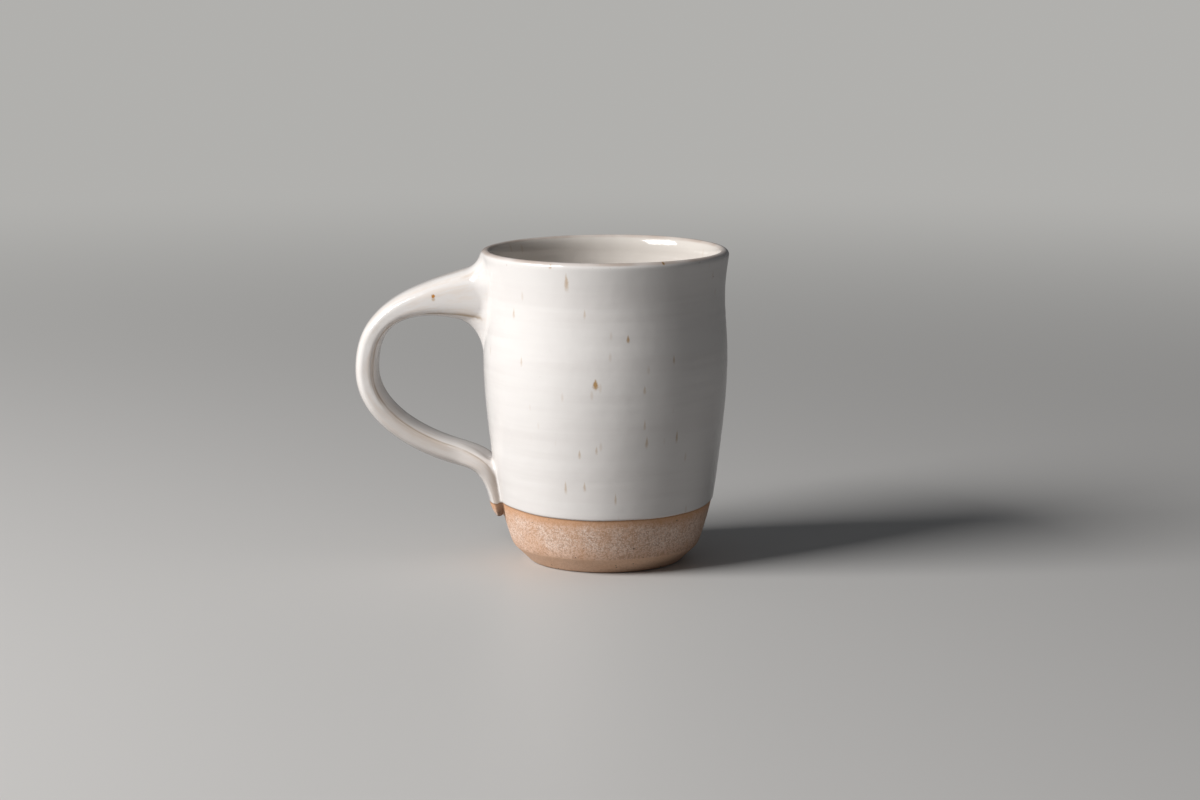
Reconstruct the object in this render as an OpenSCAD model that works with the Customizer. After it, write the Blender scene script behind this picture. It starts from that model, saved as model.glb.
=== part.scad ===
// Hand-thrown stoneware mug with one pulled strap handle.
// Millimetres, +Z up. The origin is the centre of the flat underside, and the handle
// lies in the XZ plane and points towards -X.

/* [Body] */
// Height from the table to the top of the lip
mug_h = 112; // [92:0.5:140]
// Outside diameter of the lip
lip_d = 88; // [80:0.5:100]
// Thickness of the rounded lip
lip_t = 3.7; // [2.8:0.1:4.4]
// Outside diameter of the waist under the lip
waist_d = 85.3; // [76:0.1:98]
// How far the waist lies below the top of the lip
waist_drop = 16; // [12:0.5:20]
// Outside diameter of the belly
belly_d = 87.2; // [72:0.1:105]
// How far the belly lies below the top of the lip
belly_drop = 38; // [30:0.5:46]
// Outside diameter of the shoulder that turns into the heel
shoulder_d = 79; // [68:0.1:90]
// Height of that shoulder above the table
shoulder_h = 28; // [23:0.5:34]
// Thickness of the wall
wall_t = 4; // [3:0.1:5]
// Thickness of the floor
floor_t = 6.5; // [4:0.1:8]

/* [Foot] */
// Diameter of the flat underside
foot_d = 54; // [44:0.5:60]
// Diameter at the top of the trimmed bevel
heel_d = 66.4; // [62:0.1:74]
// Height of the trimmed bevel
bevel_h = 6; // [3:0.1:8]

/* [Glaze] */
// Height of the dipped glaze line above the table
glaze_h = 21.7; // [14:0.1:26]
// Thickness of the glaze
glaze_t = 0.35; // [0.2:0.05:0.6]

/* [Handle] */
// Clear depth between the belly and the inner face of the handle
finger_gap = 38; // [28:0.1:50]
// Width of the strap
strap_w = 19.5; // [14:0.5:25]
// Thickness of the strap
strap_t = 7.8; // [5:0.1:10]
// How far the strap's line meets the wall below the top of the lip
root_drop = 15; // [14:0.1:22]
// Width of the upper root
root_w = 23; // [18:0.5:30]
// How far the root's top edge lies below the top of the lip
root_top_drop = 3.4; // [2.8:0.1:6]
// How much thicker the upper root is than the strap on its underside
root_under = 9.4; // [4:0.1:11]
// Length over which the root thins down to the strap
root_len = 40; // [20:1:50]
// Height at which the lower arm starts to turn down to the wall
knee_h = 38.4; // [32:0.1:46]
// How far that turn stands off the wall
knee_gap = 13.6; // [9:0.1:18]
// Width of the pressed tail
tail_w = 24; // [16:0.5:28]
// How far the tail stands proud of the wall
tail_t = 3.9; // [2.5:0.1:5]
// Height of the tip of the tail above the table
tail_h = 15.5; // [10:0.1:20]

/* [Hidden] */
$fn = 96;
glaze_colour = [0.90, 0.88, 0.86];

// ---- body ----
lip_r = lip_t / 2;                       // radius of the lip's round section
lip_z = mug_h - lip_r;                   // height of its centre
// Stations of the outer wall, each [height, radius, lean], glaze included
stations = [
    [bevel_h, heel_d / 2, 0.52],
    [shoulder_h, shoulder_d / 2, 0.12],
    [mug_h - belly_drop, belly_d / 2, 0],
    [mug_h - waist_drop, waist_d / 2, 0],
    [lip_z, lip_d / 2, 0.14]
];
wall_steps = 12;                         // straight pieces from each station to the next
inner_fillet = 14;                       // size of the round corner between wall and floor
glaze_roll = 0.6;                        // height over which the glaze edge swells

// Height-driven cubic from station a to station b
function span_r(a, b, z) =
    let (h = b[0] - a[0], t = (z - a[0]) / h)
    a[1] * (1 + 2 * t) * pow(1 - t, 2) + b[1] * t * t * (3 - 2 * t)
    + h * (a[2] * t * pow(1 - t, 2) - b[2] * t * t * (1 - t));

// Outer radius with the glaze's thickness included
function wall_r(z, i = 0) =
    i < len(stations) - 2 && z > stations[i + 1][0] ? wall_r(z, i + 1)
    : span_r(stations[i], stations[i + 1], z);

// The bare clay stands in by the glaze's thickness below the dipped line
function bare(z) = glaze_t * (1 - min(1, max(0, (z - glaze_h) / glaze_roll)));
function outer_r(z) = wall_r(z) - bare(z) * min(1, (z - bevel_h) / (glaze_h - bevel_h));

// Points of a cubic; a spacing above one crowds them towards a, below one towards d
function bezier_points(a, b, c, d, n, spacing = 1) =
    [for (i = [0:n]) let (t = pow(i / n, spacing))
        pow(1 - t, 3) * a + 3 * t * pow(1 - t, 2) * b + 3 * t * t * (1 - t) * c + pow(t, 3) * d];

function arc_points(c, r, a0, a1, n) =
    [for (i = [0:n]) let (a = a0 + (a1 - a0) * i / n) [c[0] + r * cos(a), c[1] + r * sin(a)]];

function between(a, b, n) = [for (i = [0:n - 1]) a + (b - a) * i / n];

outer_z = concat(
    between(bevel_h, glaze_h, wall_steps),
    between(glaze_h, glaze_h + glaze_roll, 2),
    between(glaze_h + glaze_roll, stations[2][0], 2 * wall_steps),
    between(stations[2][0], stations[3][0], wall_steps),
    between(stations[3][0], lip_z, wall_steps)
);
inner_z = between(shoulder_h, lip_z, 3 * wall_steps);

// The wall thins into the lip over its last stretch
function inner_r(z) =
    wall_r(z) - wall_t + (wall_t - lip_t) * pow(max(0, (z - stations[3][0]) / (lip_z - stations[3][0])), 2);

lip_centre = [lip_d / 2 - lip_r, lip_z];
corner_pull = [0.3, 0.15, 0.8];          // shares of the fillet: along the floor, in, and down the wall
corner = bezier_points(
    [inner_r(shoulder_h) - inner_fillet, floor_t],
    [inner_r(shoulder_h) - inner_fillet * corner_pull[0], floor_t],
    [inner_r(shoulder_h) - inner_fillet * corner_pull[1], shoulder_h - inner_fillet * corner_pull[2]],
    [inner_r(shoulder_h), shoulder_h],
    wall_steps
);

module outside() {
    rotate_extrude()
        polygon(concat(
            [[0, 0], [foot_d / 2, 0]],
            [for (z = outer_z) [outer_r(z), z]],
            arc_points(lip_centre, lip_r, 0, 90, 8),
            [[0, mug_h]]
        ));
}

module inside() {
    rotate_extrude()
        polygon(concat(
            [[0, floor_t]],
            corner,
            [for (i = [1:len(inner_z) - 1]) [inner_r(inner_z[i]), inner_z[i]]],
            arc_points(lip_centre, lip_r, 180, 90, 8),
            [[lip_centre[0], mug_h + 1], [0, mug_h + 1]]
        ));
}

// ---- handle ----
// The centre line is three cubics in the handle's own plane, as [distance from axis, height]
root_z = mug_h - root_drop;
out_share = 0.47;                        // part of the strap's thickness outside that line
wall_in = wall_t * 0.5;                  // how deep the root is worked into the wall
bend_rise = 0.5;                         // how far the widest point lies above the middle
tail_off = tail_t * 0.36;                // how far the centre line stays off the wall at the tail
root = [wall_r(root_z) - wall_in, root_z];
bend = [belly_d / 2 + finger_gap + strap_t * (1 - out_share), (root_z + knee_h) / 2 + bend_rise];
knee = [wall_r(knee_h) + knee_gap, knee_h];
tail = [wall_r(tail_h) + tail_off, tail_h];
loop = [bend[0] - root[0], root_z - knee_h];

// Pulls that shape the cubics, as shares of the distance that each one spans
root_pull = [0.57, -0.043];
bend_pull = [0.41, 0.26];                // above the bend, below the bend
arm_pull = 0.5;
knee_pull = 0.64;
tail_pull = [0.048, 0.69];
arm_dir = [0.958, 0.287];                // direction of the lower arm at the knee

upper_n = 30;                            // straight pieces in each cubic
lower_n = 14;
tail_n = 20;
upper = bezier_points(root, root + [root_pull[0] * loop[0], root_pull[1] * loop[1]],
                      bend + [0, bend_pull[0] * loop[1]], bend, upper_n, 1.5);
lower = bezier_points(bend, bend - [0, bend_pull[1] * loop[1]],
                      knee + arm_pull * (bend[0] - knee[0]) * arm_dir, knee, lower_n);
lowest = bezier_points(knee, knee - knee_pull * knee_gap * arm_dir,
                       tail + tail_pull * (knee_h - tail_h), tail, tail_n, 0.8);
path = concat(upper, [for (i = [1:lower_n]) lower[i]], [for (i = [1:tail_n]) lowest[i]]);
last = len(path) - 1;

// Distance run along the centre line, counted from where it leaves the wall
runs = [for (i = 0, s = -wall_in; i <= last;
             s = s + (i < last ? norm(path[i + 1] - path[i]) : 0), i = i + 1) s];
knee_run = runs[upper_n + lower_n];
function along(i) = let (d = path[min(last, i + 1)] - path[max(0, i - 1)]) d / norm(d);

// Shares that fade along the run: plain strap into pressed tail, and root flush with the wall
tailing_len = 12;
rooting_len = 9;
function ease(t) = let (c = min(1, max(0, t))) c * c * (3 - 2 * c);
function tailing(s) = ease((s - knee_run) / tailing_len);
function rooting(s) = 1 - ease(s / rooting_len);

// Swelling of the root, one at the wall and gone where the plain strap begins
out_fall = 1.4;                          // the higher, the sooner the root thins outside
in_fall = 2.2;                           // the same on its underside
function swell(s, fall = out_fall) = pow(max(0, 1 - max(0, s) / root_len), fall);

// Concave fillet of radius r that starts a distance off the wall
function flare(s, r, off = 0) =
    let (d = min(r, max(0, s - off))) r - sqrt(max(0, r * r - pow(r - d, 2)));
out_fillet = 2.5;
in_fillet = 7;
side_fillet = 3.5;
lip_overlap = 0.4;                       // how far the outer fillet runs in under the lip
lip_off = lip_d / 2 - wall_r(root_z) - lip_overlap;

// Thickness on both sides of the centre line and half the width, all rounded off at the tip
out_base = strap_t * out_share;
in_base = strap_t - out_base;
root_out = root_drop - root_top_drop - out_base;
tip_len = 4.6;                           // length of the tail's round end
tip_round = 2;                           // 2 is a circle, and more is squarer
tip_corner = 4;
function tip(s, power) =
    let (d = min(1, max(0, (s - runs[last] + tip_len) / tip_len)))
    pow(max(0.0001, 1 - pow(d, power)), 1 / power);
function out_t(s) =
    let (strap = out_base + root_out * swell(s) + flare(s, out_fillet, lip_off))
    (strap + (tail_t - tail_off - strap) * tailing(s)) * tip(s, tip_round);
function in_t(s) =
    (in_base + root_under * swell(s, in_fall) + flare(s, in_fillet)) * tip(s, tip_round);
function half_w(s) =
    (strap_w + (root_w - strap_w) * swell(s) + (tail_w - strap_w) * tailing(s)) / 2 * tip(s, tip_corner)
    + flare(s, side_fillet);

// Rounded strap section, crowned outside and flatter inside. At both ends it wraps round the
// wall: fall is how far the round wall drops away at a distance y from the handle's plane
side_n = 28;
side_round = 0.75;                       // powers of the section's sine and cosine
crown_round = 0.85;
under_round = 0.42;
root_round = 0.4;                        // added underneath where the root is full
function power(v, e) = sign(v) * pow(abs(v), e);
function ring(i) =
    let (s = runs[i], d = along(i), out = [-d[1], d[0]], r = wall_r(path[i][1]))
    [for (k = [0:side_n - 1])
        let (a = 360 * k / side_n,
             y = half_w(s) * power(cos(a), side_round),
             n = sin(a) > 0 ? out_t(s) * power(sin(a), crown_round)
                 : in_t(s) * power(sin(a), under_round + root_round * swell(s)),
             fall = r - sqrt(r * r - y * y),
             p = path[i] + out * (n - fall * tailing(s)) - d * fall * rooting(s))
        [-p[0], y, p[1]]];

module handle() {
    rings = [for (i = [0:last]) ring(i)];
    polyhedron(
        points = [for (r = rings) for (p = r) p],
        faces = concat(
            [[for (k = [side_n - 1:-1:0]) k]],
            [for (i = [0:last - 1]) for (k = [0:side_n - 1])
                let (a = i * side_n + k, b = i * side_n + (k + 1) % side_n) [a, b, b + side_n, a + side_n]],
            [[for (k = [0:side_n - 1]) last * side_n + k]]
        ),
        convexity = 6
    );
}

module mug() {
    color(glaze_colour)
        difference() {
            union() {
                outside();
                handle();
            }
            inside();
        }
}

mug();
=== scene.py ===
import math

import bmesh
import bpy
import numpy as np
from mathutils import Matrix, Vector
from mathutils.bvhtree import BVHTree
from mathutils.kdtree import KDTree


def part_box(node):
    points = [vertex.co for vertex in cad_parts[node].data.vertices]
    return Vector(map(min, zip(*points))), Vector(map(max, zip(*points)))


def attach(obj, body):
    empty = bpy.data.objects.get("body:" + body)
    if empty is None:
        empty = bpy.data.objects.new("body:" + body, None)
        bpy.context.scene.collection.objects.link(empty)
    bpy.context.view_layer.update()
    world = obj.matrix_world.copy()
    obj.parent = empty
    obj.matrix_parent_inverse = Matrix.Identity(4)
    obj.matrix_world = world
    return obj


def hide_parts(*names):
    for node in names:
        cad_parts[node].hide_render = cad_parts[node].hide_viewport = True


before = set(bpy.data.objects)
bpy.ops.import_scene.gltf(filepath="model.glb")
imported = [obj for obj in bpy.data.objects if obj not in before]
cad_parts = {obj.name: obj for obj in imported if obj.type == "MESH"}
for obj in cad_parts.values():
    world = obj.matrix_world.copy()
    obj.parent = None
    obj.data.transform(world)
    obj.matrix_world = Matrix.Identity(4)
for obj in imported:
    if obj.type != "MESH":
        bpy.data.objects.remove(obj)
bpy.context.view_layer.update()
_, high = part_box("mug")
print("frame loaded")

mm = 0.001
scene = bpy.context.scene


class Wire:
    # One output socket. Arithmetic on it adds Math nodes to its tree.
    def __init__(self, tree, socket):
        self.tree, self.socket = tree, socket

    def math(self, operation, *values):
        sockets = dict(enumerate((self,) + values))
        return self.tree.add("ShaderNodeMath", {"operation": operation}, sockets)

    def __add__(self, other):
        return self.math("ADD", other)

    __radd__ = __add__

    def __sub__(self, other):
        return self.math("SUBTRACT", other)

    def __rsub__(self, other):
        return self.tree.add("ShaderNodeMath", {"operation": "SUBTRACT"}, {0: other, 1: self})

    def __mul__(self, other):
        return self.math("MULTIPLY", other)

    __rmul__ = __mul__

    def __truediv__(self, other):
        return self.math("DIVIDE", other)

    def __pow__(self, other):
        return self.math("POWER", other)

    def __neg__(self):
        return self.math("MULTIPLY", -1)

    def sin(self):
        return self.math("SINE")

    def cos(self):
        return self.math("COSINE")

    def floor(self):
        return self.math("FLOOR")

    def abs(self):
        return self.math("ABSOLUTE")

    def sign(self):
        return self.math("SIGN")

    def sqrt(self):
        return self.math("SQRT")

    def atLeast(self, other):
        return self.math("MAXIMUM", other)

    def atMost(self, other):
        return self.math("MINIMUM", other)

    def step(self, low, high):  # 0 at low, 1 at high, smooth between; low may be the larger
        return self.tree.add("ShaderNodeMapRange", {"interpolation_type": "SMOOTHSTEP"},
                             {"Value": self, "From Min": low, "From Max": high})


class Tree:
    # A node tree that grows by one method, with short forms for the nodes used most
    def __init__(self, nodeTree):
        self.nodeTree = nodeTree

    def add(self, kind, settings=None, sockets=None, output=0):
        node = self.nodeTree.nodes.new(kind)
        for name, value in (settings or {}).items():
            setattr(node, name, value)
        for name, value in (sockets or {}).items():
            if isinstance(value, Wire):
                self.nodeTree.links.new(value.socket, node.inputs[name])
            else:
                node.inputs[name].default_value = value
        return Wire(self, node.outputs[output]) if node.outputs else node

    def mix(self, factor, a, b, kind="RGBA", blend="MIX"):
        # A Mix node has its own sockets for each kind of value
        first, result = {"RGBA": (6, 2), "FLOAT": (2, 0)}[kind]
        settings = {"data_type": kind}
        if kind == "RGBA":
            settings["blend_type"] = blend
        return self.add("ShaderNodeMix", settings, {0: factor, first: a, first + 1: b}, result)

    def vector(self, operation, a, b=None, scale=None):
        sockets = {0: a}
        if b is not None:
            sockets[1] = b
        if scale is not None:
            sockets["Scale"] = scale
        output = 1 if operation in ("LENGTH", "DISTANCE") else 0
        return self.add("ShaderNodeVectorMath", {"operation": operation}, sockets, output)

    def combine(self, x, y, z):
        return self.add("ShaderNodeCombineXYZ", None, {0: x, 1: y, 2: z})

    def split(self, vector):
        node = self.add("ShaderNodeSeparateXYZ", None, {0: vector}).socket.node
        return [Wire(self, socket) for socket in node.outputs]

    def noise(self, vector, scale, detail, rough=0.5):
        return self.add("ShaderNodeTexNoise", {"noise_dimensions": "3D"},
                        {"Vector": vector, "Scale": scale, "Detail": detail, "Roughness": rough})

    def cells(self, vector, scale, output=0):  # output 0 is the distance, 1 a colour for each cell
        return self.add("ShaderNodeTexVoronoi", {"feature": "F1"}, {"Vector": vector, "Scale": scale}, output)

    def attribute(self, name, output=2):  # output 2 is a number, 1 a vector
        return self.add("ShaderNodeAttribute", {"attribute_name": name}, None, output)


class Sweep(Tree):
    # A Geometry Nodes tree that lays a grid along a line: a row for each point, columns across or round it
    def __init__(self, name, sizes):
        super().__init__(bpy.data.node_groups.new(name, "GeometryNodeTree"))
        face = self.nodeTree.interface
        face.new_socket("Geometry", in_out="INPUT", socket_type="NodeSocketGeometry")
        for label, kind in sizes.items():
            face.new_socket(label, in_out="INPUT", socket_type=kind)
        face.new_socket("Geometry", in_out="OUTPUT", socket_type="NodeSocketGeometry")
        self.line = self.add("NodeGroupInput")
        inputs = self.line.socket.node.outputs
        self.size = {label: Wire(self, inputs[label]) for label in sizes}

    def grid(self, columns):
        rows = self.add("GeometryNodeAttributeDomainSize", None, {"Geometry": self.line})
        mesh = self.add("GeometryNodeMeshGrid", None, {"Vertices X": columns, "Vertices Y": rows})
        index = self.add("GeometryNodeInputIndex")
        column = (index / rows + 1e-4).floor()      # the small share keeps whole numbers whole
        return mesh, column, index - column * rows

    def sample(self, name, row, kind="FLOAT"):
        if name == "position":
            field = self.add("GeometryNodeInputPosition")
        else:
            field = self.add("GeometryNodeInputNamedAttribute", {"data_type": kind}, {"Name": name})
        return self.add("GeometryNodeSampleIndex", {"data_type": kind},
                        {"Geometry": self.line, "Value": field, "Index": row})

    def close(self, mesh, position, keep, flip=False):
        mesh = self.add("GeometryNodeSetPosition", None, {"Geometry": mesh, "Position": position})
        for name, value in keep.items():
            mesh = self.add("GeometryNodeStoreNamedAttribute", {"data_type": "FLOAT"},
                            {"Geometry": mesh, "Name": name, "Value": value})
        mesh = self.add("GeometryNodeMergeByDistance", None, {"Geometry": mesh, "Distance": 1e-6})
        if flip:
            mesh = self.add("GeometryNodeFlipFaces", None, {"Mesh": mesh})
        mesh = self.add("GeometryNodeSetShadeSmooth", None, {"Geometry": mesh})
        mesh = self.add("GeometryNodeRealizeInstances", None, {"Geometry": mesh})
        mesh = self.add("GeometryNodeSetMaterial", None,
                        {"Geometry": mesh, "Material": self.size["Material"]})
        self.add("NodeGroupOutput", None, {0: mesh})


def lineObject(name, points, values):
    # A line of points with its values as attributes; vectors are three numbers a point
    mesh = bpy.data.meshes.new(name)
    places = [Vector(p) * mm for p in points]
    mesh.from_pydata(places, [(i, i + 1) for i in range(len(places) - 1)], [])
    for label, data in values.items():
        data = np.array(data, np.float32)
        kind, slot = ("FLOAT_VECTOR", "vector") if data.ndim == 2 else ("FLOAT", "value")
        mesh.attributes.new(label, kind, "POINT").data.foreach_set(slot, data.ravel())
    line = bpy.data.objects.new(name, mesh)
    scene.collection.objects.link(line)
    return line


def plainMesh(source, name):
    # The evaluated object as a plain mesh of its own; the source is removed
    graph = bpy.context.evaluated_depsgraph_get()
    graph.update()
    mesh = bpy.data.meshes.new_from_object(source.evaluated_get(graph))
    piece = bpy.data.objects.new(name, mesh)
    scene.collection.objects.link(piece)
    bpy.data.objects.remove(source)
    return piece


def runSweep(line, sweep, values, name):
    modifier = line.modifiers.new(name, "NODES")
    modifier.node_group = sweep.nodeTree
    for item in sweep.nodeTree.interface.items_tree:
        if item.in_out == "INPUT" and item.name in values:
            modifier[item.identifier] = values[item.name]
    return plainMesh(line, name)


# All sizes are in millimetres
body = {
    "height": high.z / mm,
    "lipRadius": high.x / mm,
    "lipThick": 3.7,
    "waist": (85.3, 16),       # diameter, drop below the top
    "belly": (87.2, 38),
    "shoulder": (79, 28),      # diameter, height
    "heel": (66.4, 6),
    "foot": 54,
    "footRound": 1.0,          # how much of the foot's edge and of the heel's edge is rounded off
    "heelRound": 0.9,
    "wall": 4,
    "floor": 6.5,
    "corner": 14,
    "turnSteps": 288,
    "ringDepth": 0.16,         # throwing rings
    "ringPitch": 0.19,         # rings per millimetre
    "ringsStart": (9, 8),      # from this height, over this distance
    "ringsEnd": (100, 8),
    "ringsRadius": 20,         # none nearer the axis
    "bareRings": 0.35,         # their share on the bare clay
    "lipRoll": 6.0,            # how far down inside the lip is rounded
    "lipDip": 0.25,            # how unevenly the lip runs
    "lipDipStart": (100, 10),
}
glaze = {
    "line": 20.95,             # lowest height of the dipped line
    "tilt": 0.8,               # how much higher it runs at the back
    "bow": 0.25,               # and at both sides
    "front": math.radians(-84),
    "ripples": ((5, 1, 0.12), (11, 0, 0.05)),    # waves round the mug, their phase and height
    "lineReach": (3, 11),      # the wall follows the waves this far off, and then less over this height
    "thick": 0.35,
    "roll": 0.6,
    "heelFade": 6,             # height over which the step grows from nothing at the heel
    "bead": 0.10,              # thicker bead along the dipped edge
    "beadRise": 0.5,
    "beadFall": 3,
    "tailLine": 21.5,          # where the handle's tail is bare
    "insideStart": (1.2, 2.2), # so far behind the wall's surface, and over this distance
    "farOver": 30,             # what the inside counts as, in height over the line
}
lipRing = body["lipThick"] / 2
lipHeight = body["height"] - lipRing
lipCentre = body["lipRadius"] - lipRing
waistHeight = body["height"] - body["waist"][1]
# Each station is a height, a radius and how fast the radius grows there
stations = [
    (body["heel"][1], body["heel"][0] / 2, 0.52),
    (body["shoulder"][1], body["shoulder"][0] / 2, 0.12),
    (body["height"] - body["belly"][1], body["belly"][0] / 2, 0),
    (waistHeight, body["waist"][0] / 2, 0),
    (lipHeight, body["lipRadius"], 0.14),
]


def wallRadius(z):
    for a, b in zip(stations, stations[1:]):
        if z <= b[0] or b is stations[-1]:
            break
    h, t = b[0] - a[0], (z - a[0]) / (b[0] - a[0])
    return (a[1] * (1 + 2 * t) * (1 - t) ** 2 + b[1] * t * t * (3 - 2 * t)
            + h * (a[2] * t * (1 - t) ** 2 - b[2] * t * t * (1 - t)))


def clamp(value, low=0.0, high=1.0):
    return max(low, min(high, value))


def ease(t):
    t = clamp(t)
    return t * t * (3 - 2 * t)


def past(value, start, reach):
    # 0 up to the start, 1 beyond the reach, smooth between
    return ease((value - start) / reach)


def hump(value, centre, width):
    return math.exp(-((value - centre) / width) ** 2)


def glazedRadius(z):
    # The clay stands in by the glaze's thickness below the line, with a soft bead on the edge
    above = z - glaze["line"]
    rise = clamp(above / glaze["roll"])
    bare = 1 - math.sqrt(rise * (2 - rise))
    step = glaze["thick"] * bare * clamp((z - body["heel"][1]) / glaze["heelFade"])
    beadFall = past(above, glaze["beadRise"], glaze["beadFall"])
    bead = glaze["bead"] * past(above, 0, glaze["beadRise"]) * (1 - beadFall)
    return wallRadius(z) - step + bead


def proudOf(x, y, z):
    # How far a point stands out of the wall's surface
    return math.hypot(x, y) - wallRadius(clamp(z, body["heel"][1], lipHeight))


def innerRadius(z):
    thinning = clamp((z - waistHeight) / (lipHeight - waistHeight)) ** 2
    return wallRadius(z) - body["wall"] + (body["wall"] - body["lipThick"]) * thinning


def cubic(a, b, c, d, steps, spacing=1.0):
    # A spacing above one crowds the points towards a, below one towards d
    a, b, c, d = (np.array(p, float) for p in (a, b, c, d))
    ts = (np.arange(steps + 1) / steps) ** spacing
    return [tuple((1 - t) ** 3 * a + 3 * t * (1 - t) ** 2 * b + 3 * t * t * (1 - t) * c + t ** 3 * d)
            for t in ts]


def roundCorner(before, corner, after, radius, steps):
    # Points that round off a corner with a parabola
    before, corner, after = (np.array(p, float) for p in (before, corner, after))
    a = corner + (before - corner) / np.linalg.norm(before - corner) * radius
    b = corner + (after - corner) / np.linalg.norm(after - corner) * radius
    return [tuple((1 - t) ** 2 * a + 2 * t * (1 - t) * corner + t * t * b)
            for t in np.linspace(0, 1, steps)]


def quarterTurn(steps):
    return np.linspace(0, math.pi / 2, steps + 1)[1:]


def outerHeights():
    # Close together round the glaze's edge, where the wall steps out
    line = glaze["line"]
    edge = (-1.5, -1.0, -0.6, -0.3, -0.1, 0, 0.04, 0.1, 0.18, 0.3, 0.45, 0.65, 0.9, 1.3, 1.9, 2.6, 3.4)
    heights = list(np.linspace(7.4, line - 2.2, 13))
    heights += [line + d for d in edge]
    return heights + list(np.linspace(line + 4.3, lipHeight, 88))


def bodyProfile():
    # From the middle of the underside, up the outside, over the lip and down to the middle of the floor
    footPoint = (body["foot"] / 2, 0)
    heelPoint = (body["heel"][0] / 2, body["heel"][1])
    upWall = (glazedRadius(8), 8)
    points = [(r, 0) for r in (0, 2, 6, 10, 14, 17, 20, 22, 24)]
    points += roundCorner((0, 0), footPoint, heelPoint, body["footRound"], 7)
    points += [tuple(np.array(footPoint) + (np.array(heelPoint) - footPoint) * t)
               for t in (0.3, 0.45, 0.6, 0.75)]
    points += roundCorner(footPoint, heelPoint, upWall, body["heelRound"], 6)
    points += [(glazedRadius(z), z) for z in outerHeights()]
    points += [(lipCentre + lipRing * math.cos(a), lipHeight + lipRing * math.sin(a)) for a in quarterTurn(8)]
    roll = body["lipRoll"]
    rollFoot = body["height"] - roll
    reach = lipCentre - innerRadius(rollFoot)
    points += [(lipCentre - reach * math.sin(a), rollFoot + roll * math.cos(a)) for a in quarterTurn(14)]
    shoulder, floor, corner = body["shoulder"][1], body["floor"], body["corner"]
    points += [(innerRadius(z), z) for z in np.linspace(rollFoot, shoulder, 70)[1:]]
    inner = innerRadius(shoulder)
    points += cubic((inner, shoulder), (inner - corner * 0.15, shoulder - corner * 0.8),
                    (inner - corner * 0.3, floor), (inner - corner, floor), 20)[1:]
    points += [(r, floor) for r in (19.5, 17, 14, 11, 8, 5, 2, 0)]
    return points


def profileValues(profile):
    # How far each point follows the dipped line's waves, the rings and the dips of the lip
    lipIndex = max(range(len(profile)), key=lambda i: profile[i][1])
    follow, rings, dips = [], [], []
    for i, (r, z) in enumerate(profile):
        outside = i <= lipIndex
        onWall = outside and z > body["heel"][1] + 0.5
        follow.append(1 - past(abs(z - glaze["line"]), *glaze["lineReach"]) if onWall else 0)
        ring = past(z, *body["ringsStart"]) * (1 - past(z, *body["ringsEnd"]))
        share = body["bareRings"] if outside and z < glaze["line"] else 1.0
        rings.append(ring * share if r > body["ringsRadius"] else 0)
        dips.append(past(z, *body["lipDipStart"]))
    return {"follow": follow, "rings": rings, "dips": dips}


def lineWave(angle):
    # How far the dipped line runs above its lowest height; the body's tree does the same sum
    back = angle - glaze["front"]
    wave = glaze["tilt"] * (1 - math.cos(back)) + glaze["bow"] * (1 - math.cos(2 * back))
    for count, phase, rise in glaze["ripples"]:
        wave += rise * math.sin(count * back + phase)
    return wave


def bodyTree():
    tree = Sweep("revolve", {"Steps": "NodeSocketInt", "Ring Depth": "NodeSocketFloat",
                             "Ring Pitch": "NodeSocketFloat", "Lip Dip": "NodeSocketFloat",
                             "Line Tilt": "NodeSocketFloat", "Line Bow": "NodeSocketFloat",
                             "Line Front": "NodeSocketFloat", "Material": "NodeSocketMaterial"})
    size = tree.size
    mesh, column, row = tree.grid(size["Steps"] + 1)
    radius, _, height = tree.split(tree.sample("position", row, "FLOAT_VECTOR"))
    angle = column / size["Steps"] * math.tau
    back = angle - size["Line Front"]
    wave = size["Line Tilt"] * (1 - back.cos()) + size["Line Bow"] * (1 - (back * 2).cos())
    for count, phase, rise in glaze["ripples"]:
        wave = wave + (back * count + phase).sin() * rise
    height = height + tree.sample("follow", row) * wave * mm
    turning = tree.combine(angle.cos() * 0.22, angle.sin() * 0.22, height / mm * size["Ring Pitch"])
    ripple = (tree.noise(turning, 1.0, 2.0, 0.55) - 0.5).abs() * 3
    radius = radius - tree.sample("rings", row) * ripple.atMost(1) * size["Ring Depth"] * mm
    sway = ((angle * 2 + 0.7).cos() + (angle * 3).cos() * 0.5 + 1.5) / 3
    height = height - tree.sample("dips", row) * sway * size["Lip Dip"] * mm
    tree.close(mesh, tree.combine(radius * angle.cos(), radius * angle.sin(), height), {})
    return tree


stoneware = bpy.data.materials.new("stoneware")
profile = bodyProfile()
thrown = runSweep(
    lineObject("profile", [(r, 0, z) for r, z in profile], profileValues(profile)),
    bodyTree(),
    {"Steps": body["turnSteps"], "Ring Depth": body["ringDepth"], "Ring Pitch": body["ringPitch"],
     "Lip Dip": body["lipDip"], "Line Tilt": glaze["tilt"], "Line Bow": glaze["bow"],
     "Line Front": glaze["front"], "Material": stoneware},
    "thrown")
print("body thrown", len(thrown.data.polygons))

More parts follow.
